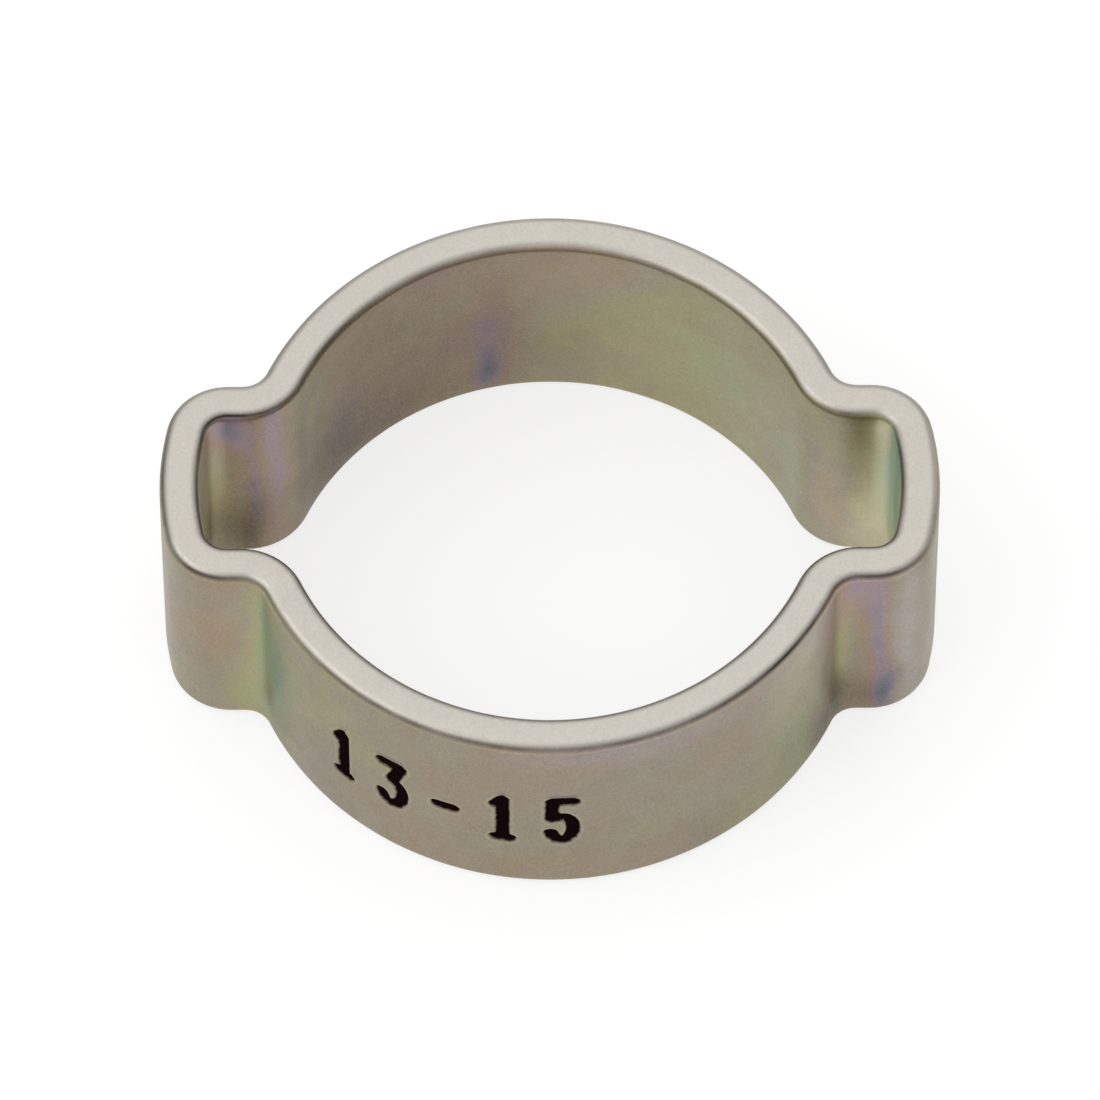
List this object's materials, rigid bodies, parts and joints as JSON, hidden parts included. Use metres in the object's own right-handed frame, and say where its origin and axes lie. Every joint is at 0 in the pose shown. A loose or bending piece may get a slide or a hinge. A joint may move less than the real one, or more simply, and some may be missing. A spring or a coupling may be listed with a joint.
{
  "type": "ear hose clamp",
  "caption": "Closed steel ring with pressed-out ears on opposite sides; pinching the ears shut draws the ring tight around a hose on its spigot.",
  "frame": {"origin": "on the axis of the bore, in the plane of the lower cut face", "axes": "+Z along the bore's axis and through the band's width, +X from ear to ear"},
  "size_m": [0.0214, 0.0172, 0.0074],
  "materials": {
    "plated_steel": "tumbled zinc plate with a thin yellow passivate, slightly iridescent"
  },
  "bodies": {
    "root": {"clamp_band": "plated_steel"}
  },
  "joints": []
}
